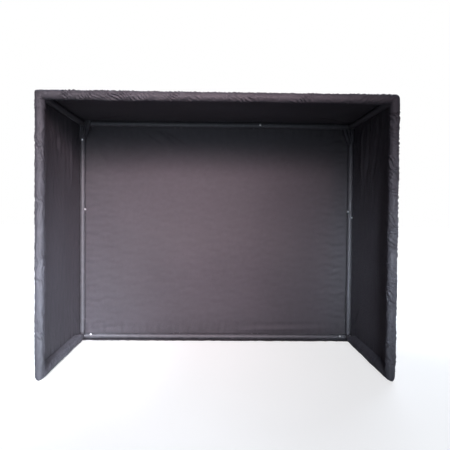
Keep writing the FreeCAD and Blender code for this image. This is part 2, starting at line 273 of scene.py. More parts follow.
def handling_group():
    """Broad uneven tone and fine lint on cloth that has been folded and handled."""
    group, given, gives = new_group(
        "cloth_handling",
        [("Vector", "NodeSocketVector", None)],
        [("Tone", "NodeSocketFloat"), ("Lint", "NodeSocketFloat")],
    )
    broad = noise_at(group, given["Vector"], 3.2, 4.0, 0.55)
    mottle = noise_at(group, given["Vector"], 55.0, 3.0, 0.6)
    both = maths(group, "MULTIPLY_ADD", mottle, 0.45, maths(group, "MULTIPLY", broad, 0.55))
    group.links.new(ramp(group, both, 0.38, 0.64), gives["Tone"])
    lint = noise_at(group, given["Vector"], 420.0, 5.0, 0.75)
    group.links.new(ramp(group, lint, 0.62, 0.74), gives["Lint"])
    return group


plain_weave = weave_group()
cloth_handling = handling_group()


def cover_cloth(name, black, worn, rough_low, sheen):
    material, tree, shader = new_material(name)
    coords = add_node(tree, "ShaderNodeTexCoord")
    weave = add_node(tree, "ShaderNodeGroup", node_tree=plain_weave)
    tree.links.new(coords.outputs["UV"], weave.inputs["Vector"])
    handling = add_node(tree, "ShaderNodeGroup", node_tree=cloth_handling)
    tree.links.new(coords.outputs["Object"], handling.inputs["Vector"])
    tone = two_tone(tree, handling.outputs["Tone"], black, worn)
    tone = two_tone(tree, handling.outputs["Lint"], tone, tuple(c * 1.5 for c in worn))
    # Painted shade in the weave: the cloth's black is made darker in the gaps between threads.
    gap_shade_tone = tuple(c * 0.55 for c in black)
    tone = two_tone(tree, weave.outputs["Gap Shade"], tone, gap_shade_tone)
    tree.links.new(tone, shader.inputs["Base Color"])
    rough = maths(tree, "MULTIPLY_ADD", handling.outputs["Tone"], 0.1, rough_low)
    tree.links.new(rough, shader.inputs["Roughness"])
    shader.inputs["Specular IOR Level"].default_value = 0.35
    shader.inputs["Sheen Weight"].default_value = sheen
    shader.inputs["Sheen Roughness"].default_value = 0.45
    shader.inputs["Sheen Tint"].default_value = (0.92, 0.86, 1.0, 1.0)
    bump_into(tree, shader, weave.outputs["Height"], 0.00022, 0.7)
    return material


wall_cloth = cover_cloth("black_wall_cloth", CLOTH_BLACK, CLOTH_WORN, 0.62, 0.03)
sleeve_cloth = cover_cloth("black_sleeve_cloth", SLEEVE_BLACK, SLEEVE_WORN, 0.55, 0.06)
trim_cloth = cover_cloth("black_trim_cloth", TRIM_BLACK, TRIM_WORN, 0.6, 0.03)


# ---------------------------------------------------------------------------------------
# Roof, back and side panels. Each is one flat cut pulled tight over the frame, and its
# edges turn 45 degrees round the tubes to the seam with the next panel. Slack cloth falls
# in broad shallow waves, with creases that run from where the corners pull.

BACK_TUBE_LOW, BACK_TUBE_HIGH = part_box("back_top_rail_middle")
TUBE_R = (BACK_TUBE_HIGH.z - BACK_TUBE_LOW.z) / 2
POST_Y = (BACK_TUBE_HIGH.y + BACK_TUBE_LOW.y) / 2
TOP_Z = (BACK_TUBE_HIGH.z + BACK_TUBE_LOW.z) / 2
COVER_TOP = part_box("top_panel")[1]
LOW_Z = COVER_TOP.z - TOP_Z
POST_X = COVER_TOP.x - LOW_Z
COVER_R = LOW_Z
EDGE_TURN = COVER_R * math.pi / 4
PANEL_STEP = 0.0045
PANEL_SINK = 0.0001
PUCKER_HEIGHT = 0.0010
SEAM_LAP = 0.002
POST_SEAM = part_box("left_panel")[0].y + POST_Y
FOOT_SEAM = 0.018

X = np.array((1.0, 0.0, 0.0))
Y = np.array((0.0, 1.0, 0.0))
Z = np.array((0.0, 0.0, 1.0))


def points_of(piece):
    co = np.empty(len(piece.data.vertices) * 3)
    piece.data.vertices.foreach_get("co", co)
    return co.reshape(-1, 3)


def set_points(piece, co):
    piece.data.vertices.foreach_set("co", np.asarray(co).ravel())
    piece.data.update()


def flat_cut(name, width, length, step):
    """A flat cut of cloth, width along X and length along Y, with its measure as its UV."""
    columns = max(2, round(width / step))
    rows = max(2, round(length / step))
    bpy.ops.mesh.primitive_grid_add(
        x_subdivisions=columns, y_subdivisions=rows, size=1, calc_uvs=True
    )
    piece = bpy.context.object
    piece.name = name
    piece.data.name = name
    bpy.ops.object.mode_set(mode="EDIT")
    bpy.ops.transform.resize(value=(width, length, 1))
    bpy.ops.object.mode_set(mode="OBJECT")
    layer = piece.data.uv_layers.active
    for loop in piece.data.loops:
        place = piece.data.vertices[loop.vertex_index].co
        layer.uv[loop.index].vector = (place.x, place.y)
    return piece


def smooth_step(value, low, high):
    t = np.clip((value - low) / (high - low), 0, 1)
    return t * t * (3 - 2 * t)


def waves(s, t, seed, lengths, height, lean=None):
    """Broad waves of cloth: seeded sines of several lengths, leaning one way if asked."""
    draw = np.random.default_rng(seed)
    total = np.zeros_like(s)
    for length in lengths:
        turn = draw.uniform(0, math.pi) if lean is None else lean + draw.normal(0, 0.16)
        phase = draw.uniform(0, 2 * math.pi)
        bend = draw.uniform(0, 2 * math.pi)
        along = s * math.cos(turn) + t * math.sin(turn)
        across = t * math.cos(turn) - s * math.sin(turn)
        along = along + 0.18 * length * np.sin(across * 2 * math.pi / (2.7 * length) + bend)
        total += np.sin(along * 2 * math.pi / length + phase) / len(lengths) ** 0.5
    return height * total


def crease(s, t, start, end, width, height):
    """One soft fold from start to end, which fades at both ends."""
    start, end = np.array(start), np.array(end)
    run = end - start
    length = np.linalg.norm(run)
    run = run / length
    ds, dt = s - start[0], t - start[1]
    along = (ds * run[0] + dt * run[1]) / length
    off = (dt * run[0] - ds * run[1]) / width
    fade = smooth_step(along, -0.08, 0.25) * (1 - smooth_step(along, 0.6, 1.08))
    return height * fade * (1 - 0.5 * off**2) * np.exp(-(off**2))


def shift_points(piece, axis, distance):
    co = points_of(piece)
    co[:, axis] += distance
    set_points(piece, co)


def creases(s, t, rows):
    """Several soft folds together; each row is a start, an end, a width and a height."""
    total = np.zeros_like(s)
    for row in rows:
        total += crease(s, t, *row)
    return total


def over_tubes(piece, axes, centre, spans, swell):
    """Lays a flat cut on the frame: axes are the ways of its width, length and outside.
    spans are its flat half sizes between the tubes, and swell its height off the frame."""
    across, along, outside = axes
    s, t, _ = points_of(piece).T
    held = []
    angles = []
    for value, (low, high) in ((s, spans[0]), (t, spans[1])):
        inside = np.clip(value, low, high)
        held.append(inside)
        angles.append((value - inside) / COVER_R)
    out = np.outer(np.tan(angles[0]), across) + np.outer(np.tan(angles[1]), along) + outside
    out /= np.linalg.norm(out, axis=1)[:, None]
    place = centre + np.outer(held[0], across) + np.outer(held[1], along)
    height = COVER_R - PANEL_SINK + swell(s, t)
    set_points(piece, place + out * height[:, None])


def edge_fade(s, t, spans, near, far):
    """0 where the cloth lies on a tube, 1 out in the open panel."""
    gaps = [s - spans[0][0], spans[0][1] - s, t - spans[1][0], spans[1][1] - t]
    fade = np.ones_like(s)
    for gap in gaps:
        fade = fade * smooth_step(gap, near, far)
    return fade


def seam_pucker(s, t, spans, seed):
    """Small puckers beside the stitched edges."""
    near = [s - spans[0][0], spans[0][1] - s, t - spans[1][0], spans[1][1] - t]
    run = [t, t, s, s]
    total = np.zeros_like(s)
    for k, (gap, place) in enumerate(zip(near, run)):
        band = smooth_step(gap, -0.002, 0.012) * (1 - smooth_step(gap, 0.016, 0.06))
        ripple = waves(place, gap * 0.4, seed + k, (0.021, 0.033, 0.047, 0.062), 1.0, 0.0)
        total += band * ripple
    return total


def make_sheet(piece, material, node):
    if material:
        piece.data.materials.append(material)
    bpy.ops.object.select_all(action="DESELECT")
    piece.select_set(True)
    bpy.context.view_layer.objects.active = piece
    thick = piece.modifiers.new("thickness", "SOLIDIFY")
    thick.thickness = CLOTH_THICKNESS
    thick.offset = -1
    thick.use_quality_normals = True
    bpy.ops.object.modifier_apply(modifier=thick.name)
    bpy.ops.object.shade_smooth_by_angle(angle=math.radians(50))
    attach(piece, "tent")
    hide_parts(node)


BACK_FOLDS = (
    ((0.23, 0.362), (0.12, 0.27), 0.009, -0.0042),
    ((0.20, 0.365), (0.07, 0.285), 0.008, 0.0036),
    ((0.27, 0.36), (0.18, 0.30), 0.007, 0.0028),
    ((-0.05, -0.352), (-0.44, -0.343), 0.009, -0.0042),
    ((-0.10, -0.333), (-0.42, -0.328), 0.008, 0.002),
    ((0.44, -0.35), (0.30, -0.335), 0.008, 0.0016),
    ((-0.455, 0.33), (-0.36, 0.20), 0.013, 0.0025),
    ((0.455, 0.34), (0.38, 0.22), 0.012, 0.0022),
)


def back_swell(s, t):
    """The back panel, s to the left and t up: long level ripples and a few pulled folds."""
    open_part = edge_fade(s, t, back_spans, 0.012, 0.11)
    near_part = edge_fade(s, t, back_spans, 0.008, 0.03)
    broad = waves(s, t, 3, (0.21, 0.27, 0.34, 0.45, 0.6), 0.0024)
    level = waves(s, t, 8, (0.019, 0.026, 0.037, 0.052), 0.00042, math.pi / 2)
    to_right = 1 - smooth_step(s, -0.46, -0.30)
    to_left = smooth_step(s, 0.30, 0.46)
    folds = creases(s, t, BACK_FOLDS)
    ripples = level * (0.45 + 1.6 * to_right + 0.8 * to_left)
    return broad * open_part + (ripples + folds) * near_part + puckers(s, t, back_spans, 40)


def puckers(s, t, spans, seed):
    return PUCKER_HEIGHT * seam_pucker(s, t, spans, seed)


MID_Z = COVER_TOP.z / 2
back_spans = ((-POST_X, POST_X), (LOW_Z - MID_Z, TOP_Z - MID_Z))
back_flat = (2 * (POST_X + EDGE_TURN), TOP_Z - LOW_Z + 2 * EDGE_TURN)
back_panel = flat_cut("back_panel_cloth", *back_flat, PANEL_STEP)
over_tubes(back_panel, (-X, Z, Y), POST_Y * Y + MID_Z * Z, back_spans, back_swell)
make_sheet(
    back_panel, wall_cloth, "back_panel",
)

roof_depth = POST_Y + POST_Y - POST_SEAM
roof_spans = ((-POST_X, POST_X), (-roof_depth / 2 - SEAM_LAP, roof_depth / 2))
ROOF_MID = POST_Y - roof_depth / 2
ROOF_FOLDS = (
    ((-0.45, 0.20), (-0.26, 0.06), 0.014, 0.003),
    ((0.45, 0.20), (0.30, 0.04), 0.014, 0.003),
    ((0.44, -0.19), (0.30, -0.08), 0.012, 0.0024),
    ((-0.44, -0.19), (-0.25, -0.10), 0.012, 0.0024),
)


def roof_swell(s, t):
    """The roof, s to the right and t back: it sags a little between the tubes."""
    open_part = edge_fade(s, t, roof_spans, 0.006, 0.10)
    near_part = edge_fade(s, t, roof_spans, 0.006, 0.03)
    sag = -0.0045 * edge_fade(s, t, roof_spans, 0.0, 0.2)
    broad = waves(s, t, 12, (0.16, 0.22, 0.31, 0.42), 0.0022)
    folds = creases(s, t, ROOF_FOLDS)
    return sag + broad * open_part + folds * near_part + puckers(s, t, roof_spans, 60)


roof_flat = (2 * (POST_X + EDGE_TURN), roof_depth + EDGE_TURN + SEAM_LAP)
roof = flat_cut("top_panel_cloth", *roof_flat, PANEL_STEP)
shift_points(roof, 1, EDGE_TURN / 2 - SEAM_LAP / 2)
over_tubes(roof, (X, Y, Z), ROOF_MID * Y + TOP_Z * Z, roof_spans, roof_swell)
make_sheet(
    roof, wall_cloth, "top_panel",
)

side_spans = ((-roof_depth / 2 - SEAM_LAP, roof_depth / 2), back_spans[1])
SIDE_FOLDS = (
    ((0.03, 0.35), (0.05, 0.16), 0.012, 0.0056),
    ((0.10, 0.36), (0.09, 0.14), 0.011, -0.0048),
    ((-0.06, 0.35), (-0.02, 0.18), 0.012, 0.0045),
    ((0.20, 0.35), (0.12, 0.22), 0.013, 0.0030),
    ((-0.20, 0.02), (-0.13, 0.05), 0.008, 0.0036),
    ((-0.20, -0.09), (-0.14, -0.05), 0.008, 0.0036),
    ((-0.20, -0.17), (-0.12, -0.16), 0.010, 0.0020),
    ((0.20, -0.33), (0.10, -0.24), 0.012, 0.0022),
)


def side_swell(toward_back, seed, folds_up):
    """A side wall, with soft upright folds in it. toward_back is 1 or -1: which way s is."""

    way = toward_back
    rows = [((a * way, b), (c * way, d), *size) for (a, b), (c, d), *size in SIDE_FOLDS]

    def swell(s, t):
        open_part = edge_fade(s, t, side_spans, 0.008, 0.09)
        near_part = edge_fade(s, t, side_spans, 0.006, 0.03)
        broad = waves(s, t, seed, (0.15, 0.21, 0.30, 0.42), 0.0023)
        upright = waves(s, t, seed + 5, (0.026, 0.041, 0.062), 0.0013, 0.0)
        high = 0.3 + folds_up * smooth_step(t, 0.05, 0.3)
        folds = creases(s, t, rows)
        soft = broad + upright * high
        return soft * open_part + folds * near_part + puckers(s, t, side_spans, seed + 9)

    return swell


side_flat = (roof_depth + EDGE_TURN + SEAM_LAP, TOP_Z - LOW_Z + 2 * EDGE_TURN)
sleeve_top = LOW_Z + FOOT_SEAM - SEAM_LAP
sleeve_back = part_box("bottom_left_sleeve")[1].y
for side, sign, seed in (("left", -1, 21), ("right", 1, 33)):
    wall = flat_cut(f"{side}_panel_cloth", *side_flat, PANEL_STEP)
    shift_points(wall, 0, sign * (EDGE_TURN / 2 - SEAM_LAP / 2))
    depth_span = side_spans[0] if sign > 0 else tuple(-v for v in side_spans[0][::-1])
    over_tubes(
        wall, (sign * Y, Z, sign * X), sign * POST_X * X + ROOF_MID * Y + MID_Z * Z,
        (depth_span, side_spans[1]), side_swell(sign, seed, 1.0 if side == "left" else 0.4),
    )
    bpy.ops.object.mode_set(mode="EDIT")
    bpy.ops.mesh.select_all(action="DESELECT")
    bpy.ops.object.mode_set(mode="OBJECT")
    for face in wall.data.polygons:
        middle = face.center
        face.select = middle.y < sleeve_back and middle.z < sleeve_top
    bpy.ops.object.mode_set(mode="EDIT")
    bpy.ops.mesh.select_mode(type="FACE")
    bpy.ops.mesh.delete(type="FACE")
    bpy.ops.object.mode_set(mode="OBJECT")
    make_sheet(
        wall, wall_cloth, f"{side}_panel",
    )


# ---------------------------------------------------------------------------------------
# Sleeves on the front posts, the front top rail and the bottom side tubes. The edge of the
# cover is folded back over the tube and stitched to itself, longer than the tube that it
# holds, so that it puckers all along.

SLEEVE_SLACK = 0.0035
SLEEVE_LIP = 0.0020
SLEEVE_STEP = 0.0023
SLEEVE_GROW = 0.03
SEWN_EDGE = 0.0045


def pocket_line(radius, seam, lip):
    """The outline of a sleeve across its tube, as distance round it, u inward, v to the
    seam. It runs down the wall, round the tube and back to the seam on the inside."""
    tip = np.array((-radius + lip, seam - SLEEVE_SLACK))
    angle = math.atan2(tip[1], tip[0]) - math.acos(radius / np.linalg.norm(tip))
    low_turn = np.linspace(math.pi, 2 * math.pi, 25)
    high_turn = np.linspace(0, angle, 11)
    u = [-radius, *radius * np.cos(low_turn), *radius * np.cos(high_turn), tip[0]]
    v = [seam, *radius * np.sin(low_turn), *SLEEVE_SLACK + radius * np.sin(high_turn), seam]
    u, v = np.array(u), np.array(v)
    length = np.concatenate(([0], np.cumsum(np.hypot(np.diff(u), np.diff(v)))))
    return length, u, v


def rolled(piece, outline, axes, start):
    """Folds a flat cut round a tube: its width goes round the outline, its length along."""
    inward, to_seam = axes
    along = np.cross(inward, to_seam)
    length, u, v = outline
    s, t, _ = points_of(piece).T
    s = s - s.min()
    t = t - t.min()
    at_u, at_v = np.interp(s, length, u), np.interp(s, length, v)
    place = start + np.outer(at_u, inward) + np.outer(at_v, to_seam) + np.outer(t, along)
    set_points(piece, place)


def pucker(piece, tube_start, tube_way, tube_length, pinned, frames=16):
    """Lets the cloth, cut longer than its tube, settle in folds round it."""
    turn = Vector(tube_way).to_track_quat("Z", "Y")
    middle = Vector(tube_start) + Vector(tube_way) * tube_length / 2
    bpy.ops.mesh.primitive_cylinder_add(
        vertices=32, radius=TUBE_R + 0.0002, depth=tube_length, location=middle,
        rotation=turn.to_euler(),
    )
    tube = bpy.context.object
    tube.modifiers.new("Collision", "COLLISION")
    tube.collision.thickness_outer = 0.0006
    bpy.ops.object.select_all(action="DESELECT")
    piece.select_set(True)
    bpy.context.view_layer.objects.active = piece
    held = piece.vertex_groups.new(name="held")
    held.add([int(k) for k in np.flatnonzero(pinned)], 1.0, "REPLACE")
    cloth = piece.modifiers.new("Cloth", "CLOTH")
    rules = cloth.settings
    rules.quality = 6
    rules.mass = 0.15
    rules.tension_stiffness = 25
    rules.compression_stiffness = 25
    rules.shear_stiffness = 8
    rules.bending_stiffness = 0.02
    rules.shrink_min = -SLEEVE_GROW
    rules.vertex_group_mass = "held"
    rules.effector_weights.gravity = 0
    cloth.collision_settings.distance_min = 0.0006
    for count in range(1, frames + 1):
        bpy.context.scene.frame_set(count)
    bpy.ops.object.modifier_apply(modifier=cloth.name)
    bpy.context.scene.frame_set(1)
    bpy.data.objects.remove(tube)
    piece.vertex_groups.clear()


def flat_measure(piece):
    """Where each point of a piece is on its flat cut, from its UV map."""
    flat = np.zeros((len(piece.data.vertices), 2))
    for loop in piece.data.loops:
        flat[loop.vertex_index] = piece.data.uv_layers.active.uv[loop.index].vector
    return flat[:, 0] - flat[:, 0].min(), flat[:, 1] - flat[:, 1].min()


def gathers(piece, seed, pitch, height, slant, turn_at=None, calm=None):
    """Slanting gathers: round ridges with sharp valleys between them, across the cloth.
    They lean by slant, and the other way past turn_at, which makes a herringbone. They
    grow weaker from calm on."""
    s, t = flat_measure(piece)
    draw = np.random.default_rng(seed)
    shift = draw.uniform(0, 2 * math.pi, 8)
    lean = slant * (s if turn_at is None else np.abs(s - turn_at))
    phase = (t + lean) * math.pi / pitch
    phase += 1.5 * np.sin(t * 2 * math.pi / 0.123 + shift[0] + 6 * s)
    phase += 0.9 * np.sin(t * 2 * math.pi / 0.051 + shift[1] - 22 * s)
    phase += 0.5 * np.sin(s * 2 * math.pi / 0.031 + t * 40 + shift[2])
    power = 0.75 + 0.3 * np.sin(t * 2 * math.pi / 0.163 + shift[3])
    power += 0.3 * np.sin(t * 2 * math.pi / 0.071 + s * 2 * math.pi / 0.052 + shift[4])
    fold = 2 * np.abs(np.sin(phase)) - 1.2
    small = waves(s, t, seed + 1, (0.008, 0.011, 0.015), 0.16)
    if calm is not None:
        power -= 0.55 * smooth_step(t, calm, calm + 0.12)
    near_edge = np.minimum(s, s.max() - s)
    near_end = np.minimum(t, t.max() - t)
    free = smooth_step(near_edge, 0.004, 0.016) * smooth_step(near_end, 0.0, 0.006)
    lift = height * free * (np.clip(power, 0.25, 1.2) * fold + small)
    normals = np.array([v.normal for v in piece.data.vertices])
    set_points(piece, points_of(piece) + normals * lift[:, None])


def make_sleeve(name, node, outline, axes, start, length, look):
    """Rolls a flat cut round its tube, lets it settle, and gathers it by look."""
    inward, to_seam = axes
    along = np.cross(inward, to_seam)
    flat = (outline[0][-1], length)
    sleeve = flat_cut(name, *flat, SLEEVE_STEP)
    s, t, _ = points_of(sleeve).T
    round_it = s - s.min()
    reach = t - t.min()
    ends = (reach < 0.001) | (reach > length - 0.001)
    seam_rows = (round_it < SEWN_EDGE) | (round_it > flat[0] - SEWN_EDGE)
    rolled(sleeve, outline, axes, np.array(start))
    pucker(sleeve, start, along, length, ends | seam_rows)
    gathers(sleeve, *look)
    make_sheet(sleeve, sleeve_cloth, node)
    return sleeve


post_outline = pocket_line(COVER_R, POST_SEAM, SLEEVE_LIP)
post_foot, post_head = (corner.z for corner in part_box("front_left_sleeve"))
for side, sign, look in (
    ("left", 1, (71, 0.0620, 0.0013, 4.8)),
    ("right", -1, (83, 0.0125, 0.0024, 0.9, 0.040)),
):
    end = post_foot if sign > 0 else post_head
    make_sleeve(
        f"front_{side}_sleeve_cloth", f"front_{side}_sleeve", post_outline,
        (sign * X, Y), (-sign * POST_X, -POST_Y, end), post_head - post_foot, look,
    )

rail_start, rail_end = (corner.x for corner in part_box("front_top_sleeve"))
make_sleeve(
    "front_top_sleeve_cloth", "front_top_sleeve", post_outline, (-Z, Y),
    (rail_start, -POST_Y, TOP_Z), rail_end - rail_start,
    (95, 0.0125, 0.0027, -1.3, None, 0.20),
)


# ---------------------------------------------------------------------------------------
# Corner caps and the turned-up fronts of the bottom sleeves. Where two sleeves meet, one
# cut of cloth is folded round the corner fitting, with its slack taken up on the inside.


def round_corner(angle, wide, high, radius):
    """How far a square corner with a rounded tip is from its inner point, at an angle."""
    c, s = np.cos(angle), np.sin(angle)
    side = wide / np.maximum(c, 1e-6)
    top = high / np.maximum(s, 1e-6)
    middle = np.array((wide - radius, high - radius))
    dot = c * middle[0] + s * middle[1]
    tip = dot + np.sqrt(np.maximum(dot**2 - middle @ middle + radius**2, 0))
    on_side = wide * s <= (high - radius) * c
    on_top = high * c <= (wide - radius) * s
    return np.where(on_side, side, np.where(on_top, top, tip))


def inside_out(piece):
    """Turns the faces of a cut that was folded the mirrored way."""
    bpy.context.view_layer.objects.active = piece
    bpy.ops.object.mode_set(mode="EDIT")
    bpy.ops.mesh.select_all(action="SELECT")
    bpy.ops.mesh.flip_normals()
    bpy.ops.object.mode_set(mode="OBJECT")


def turned_corner(t, before, turn):
    """Splits the way along a cut into the run before the corner, its angle, and the rest."""
    first = np.minimum(t, before)
    angle = np.clip((t - before) / turn, 0, 1) * math.pi / 2
    return first, angle, np.maximum(t - before - turn, 0)


def fold_corner(piece, outline, pivot, depth, sizes, before, turn, ways, fixed):
    """Folds a cut round a corner. depth gives how deep each outline point is below the
    outer face, ways are the three directions: out of the first run, out of the second,
    and the third that stays the same; fixed is the outline's place along that third."""
    length, u, v = outline
    wide, high, tip = sizes
    s, t, _ = points_of(piece).T
    s, t = s - s.min(), t - t.min()
    out = np.interp(s, length, depth)
    stay = np.interp(s, length, fixed)
    first, angle, rest = turned_corner(t, before, turn)
    reach = round_corner(angle, wide, high, tip)
    share = out / wide
    straight = out / wide * high
    radial = share * reach
    across_first, across_second, third = ways
    turning = (angle > 0) & (angle < math.pi / 2)
    a = np.where(angle <= 0, out, np.where(turning, radial * np.cos(angle), -rest))
    b = np.where(angle <= 0, first - before, np.where(turning, radial * np.sin(angle), straight))
    place = pivot + np.outer(a, across_first) + np.outer(b, across_second)
    set_points(piece, place + np.outer(stay, third))


CAP_TURN = 0.026
CAP_R = COVER_R + 0.0012
CAP_LIP = SLEEVE_LIP + 0.0008
CAP_LAP = 0.003
CAP_STEP = 0.0026
CAP_FLARE = 0.0013
FLARE_LENGTH = 0.007
cap_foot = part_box("corner_cap_left")[0].z
cap_outline = pocket_line(CAP_R, POST_SEAM, CAP_LIP)
for side, sign, tip in (("left", -1, 0.005), ("right", 1, COVER_R)):
    low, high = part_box(f"corner_cap_{side}")
    reach = high.x - low.x
    pivot = np.array((sign * (POST_X - CAP_R), 0, TOP_Z - CAP_R))
    before = pivot[2] - cap_foot + CAP_LAP
    after = reach - 2 * CAP_R + CAP_LAP
    flat = (cap_outline[0][-1], before + CAP_TURN + after)
    cap = flat_cut(f"corner_cap_{side}_cloth", *flat, CAP_STEP)
    fold_corner(
        cap, cap_outline, pivot, CAP_R - cap_outline[1], (2 * CAP_R, 2 * CAP_R, tip),
        before, CAP_TURN, (sign * X, Z, Y), cap_outline[2] - POST_Y,
    )
    if side == "right":
        inside_out(cap)
    gathers(cap, 110 + sign, 0.013, 0.0016, -1.1 * sign)
    along_cap = flat_measure(cap)[1]
    from_end = np.minimum(along_cap, along_cap.max() - along_cap)
    flare = CAP_FLARE * (1 - smooth_step(from_end, 0.0, FLARE_LENGTH))
    facing = np.array([v.normal for v in cap.data.vertices])
    set_points(cap, points_of(cap) + facing * flare[:, None])
    make_sheet(
        cap, sleeve_cloth, f"corner_cap_{side}",
    )

FOOT_TURN = 0.040
FOOT_R = COVER_R - 0.0003
FOOT_LAP = 0.004
FOOT_STEP = 0.0030
FOOT_LOWEST = 0.0002
DRAWN_SHARE = 0.7
TUBE_TOP = LOW_Z + TUBE_R + 0.0006
DRAWN_FROM = sleeve_back - 0.034
DRAWN_FULL = sleeve_back - 0.012
foot_outline = pocket_line(FOOT_R, FOOT_SEAM, SLEEVE_LIP)
for side, sign, seed, tip in (("left", -1, 131, 0.004), ("right", 1, 143, 0.008)):
    low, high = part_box(f"bottom_{side}_sleeve")
    pivot = np.array((sign * POST_X, -POST_Y + POST_SEAM, LOW_Z + FOOT_SEAM))
    before = high.y - pivot[1]
    after = high.z - pivot[2] + FOOT_LAP
    flat = (foot_outline[0][-1], before + FOOT_TURN + after)
    foot = flat_cut(f"bottom_{side}_sleeve_cloth", *flat, FOOT_STEP)
    depth = FOOT_SEAM - foot_outline[2]
    fold_corner(
        foot, foot_outline, pivot, depth, (FOOT_SEAM + FOOT_R, POST_SEAM + FOOT_R, tip),
        before, FOOT_TURN, (-Z, -Y, -sign * X), foot_outline[1],
    )
    if side == "left":
        inside_out(foot)
    gathers(foot, seed, 0.019, 0.0014, 1.3)
    co = points_of(foot)
    co[:, 2] = np.maximum(co[:, 2], FOOT_LOWEST)
    drawn_in = DRAWN_SHARE * smooth_step(co[:, 1], DRAWN_FROM, DRAWN_FULL)
    loose = (co[:, 2] > TUBE_TOP) & (np.abs(co[:, 0]) < POST_X + COVER_R - 0.0012)
    co[:, 2] -= np.where(loose, drawn_in * (co[:, 2] - TUBE_TOP), 0)
    set_points(foot, co)
    make_sheet(
        foot, sleeve_cloth, f"bottom_{side}_sleeve",
    )


# ---------------------------------------------------------------------------------------
# Back hem. The bottom of the back panel is carried on under the bottom rail and turned
# forward, lies on the table, and keeps the back wall down.

HEM_STEP = 0.0042
hem_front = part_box("back_hem")[0].y
hem_depth = POST_Y - hem_front
hem_flat = (2 * (POST_X + EDGE_TURN), hem_depth + EDGE_TURN)
hem_spans = ((-POST_X, POST_X), (-hem_depth / 2, hem_depth / 2))


def hem_swell(s, t):
    """The free front edge of the hem lifts in a few shallow waves."""
    free = 1 - smooth_step(t, -hem_depth / 2, hem_depth / 2 - 0.008)
    return -free * (0.0006 + np.abs(waves(s, t, 160, (0.05, 0.08, 0.13), 0.0008, 0.0)))


hem = flat_cut("back_hem_cloth", *hem_flat, HEM_STEP)
shift_points(hem, 1, EDGE_TURN / 2)
over_tubes(
    hem, (-X, Y, -Z), (hem_front + hem_depth / 2) * Y + LOW_Z * Z, hem_spans, hem_swell
)
make_sheet(
    hem, trim_cloth, "back_hem"
)


# ---------------------------------------------------------------------------------------
# Corner tabs. A piece of the cover's trim cloth hangs over the top of each back post, below
# its fitting. It is gathered in pleats that spread upward from the post to the back rail,
# and its two ends are tucked back inside the cover.

TAB_WIDTH = 0.084
TAB_STEP = 0.0014
TAB_R = 0.0125
TAB_OUTER = 0.0104
TAB_FOOT, TAB_HEAD = 0.0125, 0.0315
PLEAT_HEIGHT = 0.0019
TAB_FRONT = POST_Y - TUBE_R - 0.0022
TAB_BACK = POST_Y + 0.0005

for side, sign, pleats in (("left", -1, 4.0), ("right", 1, 3.0)):
    low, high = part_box(f"corner_tab_{side}")
    top = min(high.z, TOP_Z - TUBE_R - 0.001)
    flat = (TAB_WIDTH, high.z - low.z)
    tab = flat_cut(f"corner_tab_{side}_cloth", *flat, TAB_STEP)
    s, t, _ = points_of(tab).T
    s, t = s / flat[0] + 0.5, t / flat[1] + 0.5
    spread = TAB_FOOT + (TAB_HEAD - TAB_FOOT) * t**0.8
    share = np.clip((s - 0.2) / 0.6, 0, 1)
    across = -TAB_OUTER + (spread + TAB_OUTER) * share
    tucked = np.maximum(1 - smooth_step(s, 0.02, 0.2), smooth_step(s, 0.8, 0.98))
    round_post = np.sqrt(np.maximum(TAB_R**2 - np.clip(across, -TAB_R, TAB_R) ** 2, 0))
    hug = np.where(across < 0.012, TAB_R - round_post, 0.0) * (1 - 0.6 * t)
    ridge = 2 * np.abs(np.sin(share * math.pi * pleats + 0.35)) - 1.0
    fold = PLEAT_HEIGHT * (0.45 + 0.75 * t) * ridge * smooth_step(s, 0.1, 0.24)
    fold *= 1 - smooth_step(s, 0.76, 0.92)
    y = TAB_FRONT + hug - fold + (TAB_BACK - TAB_FRONT) * tucked
    lean = 0.0014 * smooth_step(share, 0.1, 0.4) * np.sin(share * math.pi * pleats * 1.3 + t * 5)
    x = sign * POST_X - sign * (across + lean * (share > 0) * (share < 1))
    over_rail = low.z + t * (high.z - low.z)
    under_fitting = low.z + t * (top - low.z)
    z = under_fitting + (over_rail - under_fitting) * smooth_step(across, 0.0085, 0.0125)
    z += 0.0012 * np.sin(share * 9 + 0.7) * (1 - t)
    set_points(tab, np.column_stack((x, y, z)))
    if side == "left":
        inside_out(tab)
    make_sheet(
        tab, trim_cloth, f"corner_tab_{side}",
    )


# ---------------------------------------------------------------------------------------
# Stitching. Sleeves and panel seams are closed with rows of black thread, in stitches of
# about three millimetres that stand just proud of the cloth. One more row on each side wall
# holds the edge of the cloth that is folded back from the post sleeve.

STITCH_LENGTH = 0.0029
STITCH_PITCH = 0.0038
STITCH_R = 0.00045
SEAM_INSET = 0.003
THREAD_DARK = (0.09, 0.087, 0.10)
THREAD_LIGHT = (0.20, 0.195, 0.22)
thread, thread_tree, thread_shader = new_material("black_thread")
thread_where = add_node(thread_tree, "ShaderNodeTexCoord").outputs["Object"]
twist = ramp(thread_tree, noise_at(thread_tree, thread_where, 2600.0, 2.0), 0.3, 0.7)
thread_tone = two_tone(thread_tree, twist, THREAD_DARK, THREAD_LIGHT)
thread_tree.links.new(thread_tone, thread_shader.inputs["Base Color"])
thread_shader.inputs["Roughness"].default_value = 0.45
thread_shader.inputs["Sheen Weight"].default_value = 0.2
bump_into(thread_tree, thread_shader, twist, 0.00005, 0.5)


